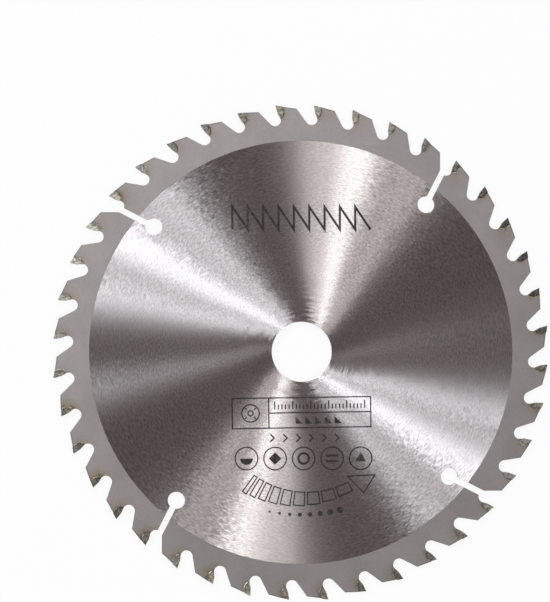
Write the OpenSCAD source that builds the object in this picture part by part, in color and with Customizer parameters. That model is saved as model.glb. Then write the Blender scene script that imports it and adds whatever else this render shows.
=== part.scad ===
// Circular saw blade: a slotted steel plate with a carbide tip brazed into the seat of every tooth.
// The blade lies flat with its axis along Z, its middle plane at Z = 0 and the bore's centre at the origin.
// Seen from +Z it turns counter-clockwise, so every tooth looks that way.

/* [Blade] */
// Diameter over the cutting points
blade_d = 165; // [140:1:190]
// Width of the cut, over the sides of the carbide tips
kerf = 2.3; // [2.1:0.1:3]
// Thickness of the steel plate at its rim
plate_t = 1.6; // [1.2:0.1:1.8]
// Diameter of the arbor bore
bore_d = 20; // [10:0.1:30]
// Width of the matt rim, from the floors of the gullets to the ground face
rim_w = 5.3; // [2:0.1:20]
// Depth that each side is ground below the matt rim
ground_depth = 0.05; // [0.02:0.01:0.2]

/* [Teeth] */
// Number of teeth
teeth = 40; // [32:2:44]
// Angle of the first cutting point, from +X
first_tooth = 6; // [0:0.5:90]
// Angle that the tooth's face leans forward of the radius
hook = 10; // [0:0.5:15]
// Length of the face, from the cutting point to the knee
face_len = 2.6; // [2:0.1:3.2]
// Angle of the face below the knee, from the radius
under_hook = 24.5; // [18:0.5:30]
// Angle that the land falls behind the cutting point
relief = 13; // [8:0.5:18]
// Angle of a tip's land across the blade, to the left and the right by turns
bevel = 7; // [0:0.5:20]
// Length of the land, from the cutting point to the shoulder
land_len = 7; // [5:0.1:8]
// Depth of a gullet's floor below the cutting points
gullet_depth = 6.85; // [6.2:0.05:9]
// Radius of the round at the gullet's floor
gullet_r = 2; // [1.5:0.1:2.4]

/* [Carbide tips] */
// Thickness of a tip, from its face to its back
tip_t = 2; // [1.5:0.1:2.5]
// Length of a tip's seat along its face
tip_len = 4.5; // [3.4:0.1:5]
// Radius of the round from a tip's back to its foot
tip_r = 2.2; // [1.6:0.1:3]
// Height of a tip's land above the steel behind it
tip_rise = 0.15; // [0.05:0.05:0.4]
// Angle that a tip's sides draw in towards the axis
radial_clearance = 1; // [0:0.25:2]
// Angle that a tip's sides draw in towards its back
back_clearance = 1.5; // [0:0.25:3]
// Thickness of the braze between a tip and its seat
braze_t = 0.12; // [0.05:0.01:0.25]
// Height that the braze stands out of each side of the plate
braze_bead = 0.12; // [0.02:0.01:0.2]

/* [Expansion slots] */
// Number of slots around the rim
slots = 4; // [2:1:8]
// Tooth in front of which the first slot opens
first_slot = 6; // [1:1:10]
// Width of a slot
slot_w = 2; // [1:0.1:2.4]
// Length of a slot, from the middle of its gullet to the middle of its keyhole
slot_len = 13.6; // [10:0.1:20]
// Angle that a slot leans back from the radius on its way in
slot_lean = 12; // [0:0.5:25]
// Distance of the slot's mouth ahead of the gullet's middle
slot_lead = 0.7; // [0:0.05:0.8]
// Diameter of the keyhole that ends a slot
keyhole_d = 5.7; // [3:0.1:8]

/* [Hidden] */
$fn = 96;
// Distance that a cutting shape runs on past the metal that it cuts
over = 4;
// Depth that a gullet's straight flanks run into its round, so that both meet in a clean edge
flank_bite = 0.01;

tip_radius = blade_d / 2;
pitch = 360 / teeth;
ground_r = tip_radius - gullet_depth - rim_w;

// Outline of one tooth. Its cutting point is on +Y, and +X trails behind it.
point = [0, tip_radius];
knee = point + face_len * [sin(hook), -cos(hook)];
flank_r = gullet_r - flank_bite;
gullet_y = tip_radius - gullet_depth + gullet_r;
gullet_start_y = gullet_y + flank_r * sin(under_hook);
gullet_start = knee + (knee.y - gullet_start_y) * [tan(under_hook), -1];
gullet_middle = gullet_start - flank_r * [cos(under_hook), sin(under_hook)];
land_way = [cos(relief), -sin(relief)];
land_end = point + (land_len + over / 2) * land_way;

// Back of the tooth ahead, a straight line from its shoulder that runs out into this gullet's round
shoulder_ahead = turned(point + land_len * land_way, pitch);
to_gullet = gullet_middle - shoulder_ahead;
back_angle = atan2(to_gullet.y, to_gullet.x) - asin(flank_r / norm(to_gullet));
back_way = [cos(back_angle), sin(back_angle)];
back_foot = shoulder_ahead + sqrt(norm(to_gullet) ^ 2 - flank_r ^ 2) * back_way;

// Round at a tip's foot, measured behind the face and down it
foot_behind = (tip_len - face_len) * tan(under_hook - hook);
foot_reach = tip_t - foot_behind;
round_behind = tip_t - tip_r;
round_down = tip_len - sqrt(2 * tip_r * foot_reach - foot_reach ^ 2);

// Slot, in the frame of the tooth behind its gullet
slot_mouth = gullet_middle - [slot_lead, 0];

// Point p turned counter-clockwise about the axis
function turned(p, angle) = [p.x * cos(angle) - p.y * sin(angle), p.x * sin(angle) + p.y * cos(angle)];

// Name of the tip on tooth i, counted from 01
function tip_name(i) = str("carbide_tip_", i < 9 ? "0" : "", i + 1);

// Side of the blade on which tooth i has its high corner
function high_side(i) = i % 2 == 0 ? 1 : -1;

// Children turned from the tooth's own frame to tooth i
module at_tooth(i) {
    rotate(first_tooth + i * pitch - 90)
        children();
}

// Open space between the back of the tooth ahead, the face of this tooth and the air above its land
module tooth_gap() {
    translate(gullet_middle)
        circle(gullet_r);
    polygon([
        shoulder_ahead - over * back_way,
        back_foot,
        gullet_middle,
        gullet_start,
        knee,
        point,
        land_end,
        land_end + [0, over],
        point + [0, over],
    ]);
}

// Seat of a tip in the tooth, with room for a layer around the tip's back and foot
module seat(layer) {
    translate(point)
        rotate(hook) {
            translate([round_behind, -round_down])
                circle(tip_r + layer);
            translate([-tip_t / 2, -round_down])
                square([tip_t * 3 / 2 + layer, round_down + over / 2]);
        }
}

// Air above a land that lies a given drop below the cutting point and slopes across the blade from its high side
module above_land(drop, side, slope) {
    translate([point.x, point.y, side * kerf / 2])
        rotate([0, 0, -relief])
            rotate([-side * slope, 0, 0])
                translate([-over / 2, -drop, -kerf - over])
                    cube([land_len + over, over, 2 * (kerf + over)]);
}

// Air above the steel behind a tip, whose land is square across the blade
module above_steel() {
    above_land(tip_rise, 1, 0);
}

// Air beside a tip's flank, which draws in from the cutting corner towards the axis and the back
module beside_flank(side) {
    mirror([0, 0, side > 0 ? 0 : 1])
        translate([point.x, point.y, kerf / 2])
            rotate([radial_clearance, back_clearance, 0])
                translate([-over, -tip_len - over, 0])
                    cube([tip_t + 2 * over, tip_len + 2 * over, over]);
}

// Expansion slot from a gullet to its keyhole
module expansion_slot() {
    translate(slot_mouth)
        rotate(slot_lean) {
            translate([-slot_w / 2, -slot_len])
                square([slot_w, slot_len]);
            translate([0, -slot_len])
                circle(d = keyhole_d);
        }
}

// Side view of the plate: teeth with empty seats, slots and bore
module plate_profile() {
    difference() {
        circle(tip_radius);
        circle(d = bore_d);
        for (i = [0 : teeth - 1])
            at_tooth(i) {
                tooth_gap();
                seat(braze_t);
            }
        for (j = [0 : slots - 1])
            at_tooth(first_slot - 1 + floor(j * teeth / slots))
                expansion_slot();
    }
}

// Steel plate, with a land on every tooth and both sides ground inside the matt rim
module blade_plate() {
    color("silver")
        difference() {
            linear_extrude(plate_t, center = true)
                plate_profile();
            for (i = [0 : teeth - 1])
                at_tooth(i)
                    above_steel();
            for (side = [-1, 1])
                translate([0, 0, side * (plate_t / 2 - ground_depth + over / 2)])
                    cylinder(h = over, r = ground_r, center = true);
        }
}

// Carbide tip of tooth i
module carbide_tip(i) {
    color("dimgray")
        at_tooth(i)
            difference() {
                linear_extrude(kerf, center = true)
                    difference() {
                        seat(0);
                        tooth_gap();
                    }
                above_land(0, high_side(i), bevel);
                beside_flank(1);
                beside_flank(-1);
            }
}

// Braze behind and under every tip
module braze_seams() {
    color("darkkhaki")
        for (i = [0 : teeth - 1])
            at_tooth(i)
                difference() {
                    linear_extrude(plate_t + 2 * braze_bead, center = true)
                        difference() {
                            seat(braze_t);
                            seat(0);
                            tooth_gap();
                        }
                    above_steel();
                }
}

blade_plate();
for (i = [0 : teeth - 1]) carbide_tip(i);
braze_seams();
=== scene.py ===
"""Dresses a tipped circular saw blade in ground and blasted steel, carbide, braze and printed marks."""

import logging
import math
from collections.abc import Callable, Iterable, Sequence
from dataclasses import dataclass, field
from enum import Enum

import bmesh
import bpy
from mathutils import Matrix, Vector, noise


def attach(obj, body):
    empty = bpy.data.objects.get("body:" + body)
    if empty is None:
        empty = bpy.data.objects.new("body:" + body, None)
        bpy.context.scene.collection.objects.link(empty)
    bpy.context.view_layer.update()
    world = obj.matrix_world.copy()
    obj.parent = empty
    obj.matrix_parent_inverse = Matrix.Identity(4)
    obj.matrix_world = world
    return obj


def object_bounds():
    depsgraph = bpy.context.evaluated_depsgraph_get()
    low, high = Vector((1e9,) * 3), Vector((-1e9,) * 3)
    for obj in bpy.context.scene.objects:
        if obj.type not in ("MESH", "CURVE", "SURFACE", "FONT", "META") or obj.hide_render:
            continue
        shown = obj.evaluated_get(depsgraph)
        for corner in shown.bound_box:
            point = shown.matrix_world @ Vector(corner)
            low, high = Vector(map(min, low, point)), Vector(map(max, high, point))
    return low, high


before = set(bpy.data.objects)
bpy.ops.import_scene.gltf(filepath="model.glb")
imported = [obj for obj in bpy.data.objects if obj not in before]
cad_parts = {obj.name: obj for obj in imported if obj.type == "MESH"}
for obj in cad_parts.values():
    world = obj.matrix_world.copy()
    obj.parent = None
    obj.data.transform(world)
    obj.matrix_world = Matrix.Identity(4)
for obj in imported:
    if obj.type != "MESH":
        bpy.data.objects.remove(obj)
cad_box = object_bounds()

log = logging.getLogger("saw_blade")

MM = 0.001
BODY = "root"

# Middle of a smooth noise, and the span that nearly all of it lies in
NOISE_MIDDLE = 0.5
NOISE_SPAN = (0.3, 0.7)

Colour = tuple[float, float, float]
Point = tuple[float, float]
Span = tuple[float, float]
Socket = bpy.types.NodeSocket
Feed = Socket | float | tuple
Section = Sequence[bmesh.types.BMVert]


class Side(Enum):
    """Side of the blade, with the sign of its Z."""

    FRONT = 1
    BACK = -1


class PlateZone(Enum):
    """Kind of surface on the steel plate, with its material slot."""

    GROUND_FACE = 0
    BLASTED_RIM = 1
    TOOTH_LAND = 2
    CUT_WALL = 3


class TipZone(Enum):
    """Kind of surface on a carbide tip, with its material slot."""

    FLANK = 0
    EDGE_FACE = 1


class Sum(Enum):
    """Arithmetic that a shader graph does on numbers."""

    ADD = "ADD"
    TAKE = "SUBTRACT"
    TIMES = "MULTIPLY"
    OVER = "DIVIDE"
    FLOOR = "FLOOR"
    FRACTION = "FRACT"
    SINE = "SINE"
    COSINE = "COSINE"
    ANGLE = "ARCTAN2"
    MORE = "MAXIMUM"


class Turn(Enum):
    """Arithmetic that a shader graph does on vectors."""

    ADD = "ADD"
    TIMES = "MULTIPLY"
    CROSS = "CROSS_PRODUCT"
    UNIT = "NORMALIZE"


class Grain(Enum):
    """Kind of smooth noise, with the number of its finer layers and their weight."""

    PLAIN = (2.0, 0.5)
    CLOUDY = (3.0, 0.5)
    SHARP = (3.0, 0.6)
    RAGGED = (3.0, 0.65)
    RUNNY = (4.0, 0.6)
    PATCHY = (4.0, 0.65)


@dataclass
class RingPlace:
    """Sockets that tell where on the blade a shaded point lies."""

    point: Socket
    radial: Socket
    radius: Socket
    angle: Socket


@dataclass
class SeatPlace:
    """Sockets that tell a shaded point's distance past a tip's seam, depth below the land and tooth."""

    seam: Socket
    land: Socket
    tooth: Socket


class NodeGraph:
    """One material's shader graph, built by short calls that hand back output sockets."""

    def __init__(self, name: str) -> None:
        """Starts an empty graph.

        Args:
            name: Name of the material.
        """
        self.material = bpy.data.materials.new(name)
        self.material.use_nodes = True
        self.tree = self.material.node_tree
        self.tree.nodes.clear()

    def node(self, kind: str, **settings: str | bool) -> bpy.types.Node:
        """Adds a node.

        Args:
            kind: Blender's name of the node type.
            settings: Attributes to set on the node.

        Returns:
            The new node.
        """
        made = self.tree.nodes.new(kind)
        for key, value in settings.items():
            setattr(made, key, value)
        return made

    def feed(self, socket: Socket, value: Feed) -> None:
        """Links an input to an output socket, or sets it to a plain value.

        Args:
            socket: The input.
            value: An output socket, a number, a vector or a colour.
        """
        if isinstance(value, Socket):
            self.tree.links.new(value, socket)
        elif socket.type == "RGBA":
            socket.default_value = (*value, 1.0)
        else:
            socket.default_value = value

    def number(self, step: Sum, first: Feed, second: Feed = 0.0) -> Socket:
        """Works out one number.

        Args:
            step: The arithmetic to do.
            first: First number.
            second: Second number, where the step takes one.

        Returns:
            The result's socket.
        """
        made = self.node("ShaderNodeMath", operation=step.value)
        self.feed(made.inputs[0], first)
        self.feed(made.inputs[1], second)
        return made.outputs[0]

    def vector(self, step: Turn, first: Feed, second: Feed = (0.0, 0.0, 0.0)) -> Socket:
        """Works out one vector.

        Args:
            step: The arithmetic to do.
            first: First vector.
            second: Second vector, where the step takes one.

        Returns:
            The result's socket.
        """
        made = self.node("ShaderNodeVectorMath", operation=step.value)
        self.feed(made.inputs[0], first)
        self.feed(made.inputs[1], second)
        return made.outputs["Vector"]

    def scaled(self, vector: Feed, factor: Feed) -> Socket:
        """Scales a vector.

        Args:
            vector: The vector.
            factor: Number that it is scaled by.

        Returns:
            The scaled vector's socket.
        """
        made = self.node("ShaderNodeVectorMath", operation="SCALE")
        self.feed(made.inputs[0], vector)
        self.feed(made.inputs["Scale"], factor)
        return made.outputs["Vector"]

    def weighed(self, first: Socket, first_share: float, second: Socket, second_share: float) -> Socket:
        """Adds shares of two numbers.

        Args:
            first: First number.
            first_share: Share of it.
            second: Second number.
            second_share: Share of it.

        Returns:
            The sum's socket.
        """
        parts = self.number(Sum.TIMES, first, first_share), self.number(Sum.TIMES, second, second_share)
        return self.number(Sum.ADD, *parts)

    def measured(self, vector: Socket, way: Point | None = None) -> Socket:
        """Measures a vector, in full or along a level way.

        Args:
            vector: The vector.
            way: Level direction to measure along, or none for the full length.

        Returns:
            The measure's socket.
        """
        made = self.node("ShaderNodeVectorMath", operation="DOT_PRODUCT" if way else "LENGTH")
        self.feed(made.inputs[0], vector)
        if way:
            self.feed(made.inputs[1], (*way, 0.0))
        return made.outputs["Value"]

    def joined(self, x: Feed, y: Feed, z: Feed) -> Socket:
        """Joins three numbers into a vector.

        Args:
            x: First part.
            y: Second part.
            z: Third part.

        Returns:
            The vector's socket.
        """
        made = self.node("ShaderNodeCombineXYZ")
        for socket, value in zip(made.inputs, (x, y, z)):
            self.feed(socket, value)
        return made.outputs[0]

    def parts(self, vector: Socket) -> tuple[Socket, Socket, Socket]:
        """Splits a vector.

        Args:
            vector: The vector.

        Returns:
            Its three parts.
        """
        made = self.node("ShaderNodeSeparateXYZ")
        self.feed(made.inputs[0], vector)
        return made.outputs[0], made.outputs[1], made.outputs[2]

    def grain(self, place: Socket, scale: float, kind: Grain = Grain.PLAIN) -> Socket:
        """Adds smooth noise.

        Args:
            place: Vector that the noise is read at.
            scale: Number of grains along one unit of that vector.
            kind: Kind of the noise.

        Returns:
            The noise's socket.
        """
        made = self.node("ShaderNodeTexNoise")
        detail, roughness = kind.value
        inputs = {"Vector": place, "Scale": scale, "Detail": detail, "Roughness": roughness}
        for name, given in inputs.items():
            self.feed(made.inputs[name], given)
        return made.outputs["Fac"]

    def chance(self, seed: Socket, row: float) -> Socket:
        """Gives one even random number for each value of a seed.

        Args:
            seed: Number that picks the random one.
            row: Picks one of several unlike rows of random numbers.

        Returns:
            A number from 0 to 1.
        """
        made = self.node("ShaderNodeTexWhiteNoise", noise_dimensions="1D")
        self.feed(made.inputs["W"], self.number(Sum.ADD, seed, row))
        return made.outputs["Value"]

    def fade(self, value: Feed, start: float, end: float, low: float = 0.0, high: float = 1.0) -> Socket:
        """Maps a range of numbers smoothly onto another, held at its ends.

        Args:
            value: The number.
            start: Where the fade starts.
            end: Where the fade ends.
            low: Result at the start.
            high: Result at the end.

        Returns:
            The result's socket.
        """
        made = self.node("ShaderNodeMapRange", interpolation_type="SMOOTHSTEP")
        inputs = {"Value": value, "From Min": start, "From Max": end, "To Min": low, "To Max": high}
        for name, given in inputs.items():
            self.feed(made.inputs[name], given)
        return made.outputs["Result"]

    def varied(self, noise_level: Socket, low: float = 0.0, high: float = 1.0) -> Socket:
        """Spreads a smooth noise over a range of numbers."""
        return self.fade(noise_level, *NOISE_SPAN, low, high)

    def about(self, noise_level: Socket, middle: float, spread: float) -> Socket:
        """Spreads a smooth noise evenly about a number."""
        return self.varied(noise_level, middle - spread / 2, middle + spread / 2)

    def toward(self, place: RingPlace, way: Point, low: float, high: float) -> Socket:
        """Fades a number across the whole blade, up to the side that a way points to."""
        return self.fade(self.measured(place.radial, way), -1.0, 1.0, low, high)

    def off_middle(self, noise_level: Socket) -> Socket:
        """Gives how far a smooth noise is from its middle, to either side."""
        return self.number(Sum.TAKE, noise_level, NOISE_MIDDLE)

    def blend(self, share: Feed, first: Feed, second: Feed) -> Socket:
        """Blends two colours.

        Args:
            share: Share of the second colour, from 0 to 1.
            first: First colour.
            second: Second colour.

        Returns:
            The blended colour's socket.
        """
        made = self.node("ShaderNodeMix", data_type="RGBA")
        self.feed(made.inputs[0], share)
        self.feed(made.inputs[6], first)
        self.feed(made.inputs[7], second)
        return made.outputs[2]

    def bump(self, height: Socket, depth: float) -> Socket:
        """Turns a height into a bumped normal.

        Args:
            height: Height from 0 to 1.
            depth: Real depth of that height, in metres.

        Returns:
            The normal's socket.
        """
        made = self.node("ShaderNodeBump")
        self.feed(made.inputs["Height"], height)
        self.feed(made.inputs["Distance"], depth)
        self.feed(made.inputs["Strength"], 1.0)
        return made.outputs["Normal"]

    def ring_place(self) -> RingPlace:
        """Reads where a point lies on the blade.

        Returns:
            The point, the direction out from the axis, the distance from it and the angle from +X.
        """
        point = self.node("ShaderNodeTexCoord").outputs["Object"]
        flat = self.vector(Turn.TIMES, point, (1.0, 1.0, 0.0))
        x, y, _ = self.parts(flat)
        angle = self.number(Sum.ANGLE, y, x)
        return RingPlace(point, self.vector(Turn.UNIT, flat), self.measured(flat), angle)

    def skin(self, colour: Feed, roughness: Feed, normal: Socket) -> bpy.types.Node:
        """Adds a solid's shader and makes it the surface.

        Args:
            colour: Colour of the surface.
            roughness: Roughness of the surface.
            normal: Bumped normal.

        Returns:
            The shader's node.
        """
        shader = self.node("ShaderNodeBsdfPrincipled")
        self.feed(shader.inputs["Base Color"], colour)
        self.feed(shader.inputs["Roughness"], roughness)
        self.feed(shader.inputs["Normal"], normal)
        self.surface(shader.outputs[0])
        return shader

    def metal(self, colour: Feed, roughness: Feed, normal: Socket) -> bpy.types.Node:
        """Adds a bare metal's shader and makes it the surface.

        Args:
            colour: Colour of the metal.
            roughness: Roughness of the surface.
            normal: Bumped normal.

        Returns:
            The shader's node.
        """
        shader = self.skin(colour, roughness, normal)
        shader.inputs["Metallic"].default_value = 1.0
        return shader

    def surface(self, shader: Socket) -> None:
        """Makes a shader the material's surface."""
        self.feed(self.node("ShaderNodeOutputMaterial").inputs["Surface"], shader)


def shaded(colour: Colour, share: float) -> Colour:
    """Makes a colour lighter or darker by a share of its own level."""
    return tuple(part * share for part in colour)


def heading(degrees: float) -> Point:
    """Gives the level direction at an angle from +X."""
    return math.cos(math.radians(degrees)), math.sin(math.radians(degrees))


def between(span: Span, share: float) -> float:
    """Gives the number at a share of the way through a span."""
    return span[0] + (span[1] - span[0]) * share


def spot(middle: Point, radius: float, angle: float) -> Point:
    """Gives the point at a distance and an angle from a middle."""
    return middle[0] + radius * math.cos(angle), middle[1] + radius * math.sin(angle)


@dataclass(frozen=True)
class GroundSteel:
    """Face ground in fine rings about the axis, which spread the light of a lamp into a wedge.

    Light spreads square to a scratch, along a line that passes the axis at a distance, the lean. The lean
    and its spread from scratch to scratch are given near the bore and farther out, at the two ends of
    lean_reach. Short scratches wander on top of that, and the few strongest stray more.
    """

    colour: Colour = (0.67, 0.635, 0.635)
    line_span: Span = (0.25, 0.75)
    line_tones: Span = (0.65, 1.35)
    dull_span: Span = (0.4, 0.75)
    dull_tone: float = 0.75
    dull_share: float = 0.25
    pale_reach: Span = (14.0 * MM, 62.0 * MM)
    pale_tones: Span = (1.1, 0.97)
    roughness: float = 0.31
    roughness_spread: float = 0.05
    anisotropy: float = 1.0
    lean: Span = (3.9 * MM, 3.1 * MM)
    lean_spread: Span = (10.0 * MM, 1.2 * MM)
    lean_reach: Span = (14.0 * MM, 34.0 * MM)
    wander: float = 0.2
    stray: float = 8.0
    deep_rings: float = 2800.0
    deep_arcs: float = 3.5
    long_rings: float = 1500.0
    long_arcs: float = 12.0
    short_rings: float = 2600.0
    short_arcs: float = 46.0
    scratch_depth: float = 0.004 * MM

    def material(self) -> bpy.types.Material:
        """Builds the finish.

        Returns:
            The material.
        """
        graph = NodeGraph("ground_steel")
        place = graph.ring_place()
        long_lines = self.lines(graph, place, self.long_rings, self.long_arcs)
        short_lines = self.lines(graph, place, self.short_rings, self.short_arcs)
        dark, light = (shaded(self.colour, tone) for tone in self.line_tones)
        colour = graph.blend(graph.fade(short_lines, *self.line_span), dark, light)
        dull = graph.fade(long_lines, *self.dull_span, 0.0, self.dull_share)
        colour = graph.blend(dull, colour, shaded(self.colour, self.dull_tone))
        tone = graph.fade(place.radius, *self.pale_reach, *self.pale_tones)
        roughness = graph.about(long_lines, self.roughness, self.roughness_spread)
        scratches = graph.bump(graph.weighed(long_lines, 0.5, short_lines, 0.5), self.scratch_depth)
        shader = graph.metal(graph.scaled(colour, tone), roughness, scratches)
        shader.inputs["Anisotropic"].default_value = self.anisotropy
        graph.feed(shader.inputs["Tangent"], self.spread_way(graph, place, short_lines))
        return graph.material

    def lines(self, graph: NodeGraph, place: RingPlace, rings: float, arcs: float) -> Socket:
        """Adds noise that is drawn out along rings about the axis.

        Args:
            graph: Graph of the material.
            place: Place on the blade.
            rings: Rings in one metre of radius.
            arcs: Length of the ring that the noise is read on, which sets how short the lines are.

        Returns:
            The noise's socket.
        """
        around = graph.scaled(place.radial, arcs)
        out = graph.joined(0.0, 0.0, graph.number(Sum.TIMES, place.radius, rings))
        return graph.grain(graph.vector(Turn.ADD, around, out), 1.0, Grain.SHARP)

    def spread_way(self, graph: NodeGraph, place: RingPlace, lines: Socket) -> Socket:
        """Gives the direction that light spreads in, square to scratches that lean most at the bore.

        Args:
            graph: Graph of the material.
            place: Place on the blade.
            lines: Noise that turns each scratch a little.

        Returns:
            The direction's socket.
        """
        around = graph.vector(Turn.CROSS, (0.0, 0.0, 1.0), place.radial)
        deep_lines = self.lines(graph, place, self.deep_rings, self.deep_arcs)
        spread = graph.fade(place.radius, *self.lean_reach, *self.lean_spread)
        offset = graph.number(Sum.TIMES, graph.off_middle(deep_lines), spread)
        lean = graph.fade(place.radius, *self.lean_reach, *self.lean)
        lean = graph.number(Sum.OVER, graph.number(Sum.ADD, offset, lean), place.radius)
        off = graph.off_middle(lines)
        far_off = graph.number(Sum.TIMES, graph.number(Sum.TIMES, off, off), self.stray)
        turn = graph.number(Sum.TIMES, off, graph.number(Sum.ADD, far_off, self.wander))
        sideways = graph.scaled(around, graph.number(Sum.ADD, lean, turn))
        return graph.vector(Turn.UNIT, graph.vector(Turn.ADD, place.radial, sideways))


@dataclass(frozen=True)
class ToothPattern:
    """Places of the teeth round the blade, and the shape of the seat that holds each tip.

    A point up to the share ahead of a pitch in front of a cutting point counts as part of its tooth.
    """

    teeth: int = 40
    first_tooth: float = math.radians(6.0)
    tip_radius: float = 82.5 * MM
    hook: float = math.radians(10.0)
    under_hook: float = math.radians(24.5)
    relief: float = math.radians(13.0)
    face_len: float = 2.6 * MM
    tip_t: float = 2.0 * MM
    tip_len: float = 4.5 * MM
    tip_r: float = 2.2 * MM
    tip_rise: float = 0.15 * MM
    plate_half: float = 0.8 * MM
    ahead: float = 0.2

    @property
    def pitch(self) -> float:
        """Angle from one tooth to the next."""
        return math.tau / self.teeth

    @property
    def foot_behind(self) -> float:
        """Distance of the tip's foot behind the line of its face."""
        return (self.tip_len - self.face_len) * math.tan(self.under_hook - self.hook)

    @property
    def round_behind(self) -> float:
        """Distance of the seat round's middle behind the line of the face."""
        return self.tip_t - self.tip_r

    @property
    def round_down(self) -> float:
        """Distance of the seat round's middle down the face."""
        reach = self.tip_t - self.foot_behind
        return self.tip_len - math.sqrt(2 * self.tip_r * reach - reach * reach)

    @property
    def land_down(self) -> float:
        """Distance down the face at which the steel's land meets the back of the tip."""
        fall = self.hook + self.relief
        return self.tip_t * math.tan(fall) + self.tip_rise / math.cos(fall)

    def placed(self, tooth: int, behind: float, down: float) -> Point:
        """Takes a point from a tooth's face to the blade.

        Args:
            tooth: Number of the tooth, from 0.
            behind: Distance behind the face.
            down: Distance down the face from the cutting point.

        Returns:
            The point on the blade.
        """
        angle = self.first_tooth + tooth * self.pitch
        return spot(self.turned(tooth, behind, -down), self.tip_radius, angle)

    def turned(self, tooth: int, across: float, up: float) -> Point:
        """Turns a direction from a tooth's face to the blade.

        Args:
            tooth: Number of the tooth, from 0.
            across: Part of the direction that points behind the face.
            up: Part of the direction that points up the face.

        Returns:
            The direction on the blade.
        """
        angle = self.first_tooth + tooth * self.pitch - math.pi / 2 + self.hook
        x = across * math.cos(angle) - up * math.sin(angle)
        y = across * math.sin(angle) + up * math.cos(angle)
        return x, y

    def seat_place(self, graph: NodeGraph, place: RingPlace) -> SeatPlace:
        """Reads where a point lies on its own tooth.

        Args:
            graph: Graph of the material.
            place: Place on the blade.

        Returns:
            The distance outside the tip's back and foot, the depth below the land and the tooth's number.
        """
        turns = graph.number(Sum.OVER, graph.number(Sum.TAKE, self.first_tooth, place.angle), math.tau)
        turns = graph.number(Sum.FRACTION, graph.number(Sum.ADD, turns, self.ahead / self.teeth))
        counted = graph.number(Sum.TIMES, turns, self.teeth)
        phase = graph.number(Sum.TAKE, graph.number(Sum.FRACTION, counted), self.ahead)
        turn = graph.number(Sum.TIMES, phase, self.pitch)
        along = graph.number(Sum.TIMES, place.radius, graph.number(Sum.SINE, turn))
        height = graph.number(Sum.TIMES, place.radius, graph.number(Sum.COSINE, turn))
        inward = graph.number(Sum.TAKE, self.tip_radius, height)
        behind = graph.weighed(along, math.cos(self.hook), inward, -math.sin(self.hook))
        down = graph.weighed(along, math.sin(self.hook), inward, math.cos(self.hook))
        past = graph.number(Sum.TAKE, behind, self.round_behind)
        below = graph.number(Sum.MORE, graph.number(Sum.TAKE, down, self.round_down), 0.0)
        seam = graph.number(Sum.TAKE, graph.measured(graph.joined(past, below, 0.0)), self.tip_r)
        land = graph.weighed(along, -math.sin(self.relief), inward, math.cos(self.relief))
        return SeatPlace(seam, land, graph.number(Sum.FLOOR, counted))


@dataclass(frozen=True)
class HeatStain:
    """Straw and brown stain that brazing leaves about each seat, stronger on one side of the blade.

    Both reaches run out from the seam, along a ragged front.
    """

    pattern: ToothPattern
    reach: float = 4.2 * MM
    scorch_reach: float = 1.3 * MM
    ragged: float = 1.6 * MM
    blur_scale: float = 900.0
    chance_row: float = 0.0
    weakest: float = 0.25
    strong_way: Point = heading(195.0)
    side_span: Span = (-0.5, 0.7)
    weak_side: float = 0.45

    def masks(self, graph: NodeGraph, place: RingPlace, seat: SeatPlace) -> tuple[Socket, Socket]:
        """Works out how strongly each point is stained, with its own strength on every tooth.

        Args:
            graph: Graph of the material.
            place: Place on the blade.
            seat: Place on the tooth.

        Returns:
            The strengths of the straw stain and of the brown scorch at the seam, from 0 to 1.
        """
        blur = graph.grain(place.point, self.blur_scale, Grain.RAGGED)
        stray = graph.number(Sum.TIMES, graph.off_middle(blur), 2 * self.ragged)
        distance = graph.number(Sum.ADD, seat.seam, stray)
        side = graph.measured(place.radial, self.strong_way)
        side_strength = graph.fade(side, *self.side_span, self.weak_side, 1.0)
        own_strength = graph.fade(graph.chance(seat.tooth, self.chance_row), 0.0, 1.0, self.weakest, 1.0)
        strength = graph.number(Sum.TIMES, own_strength, side_strength)
        straw = graph.fade(distance, 0.0, self.reach, 1.0, 0.0)
        scorch = graph.fade(distance, 0.0, self.scorch_reach, 1.0, 0.0)
        return graph.number(Sum.TIMES, straw, strength), graph.number(Sum.TIMES, scorch, strength)


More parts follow.
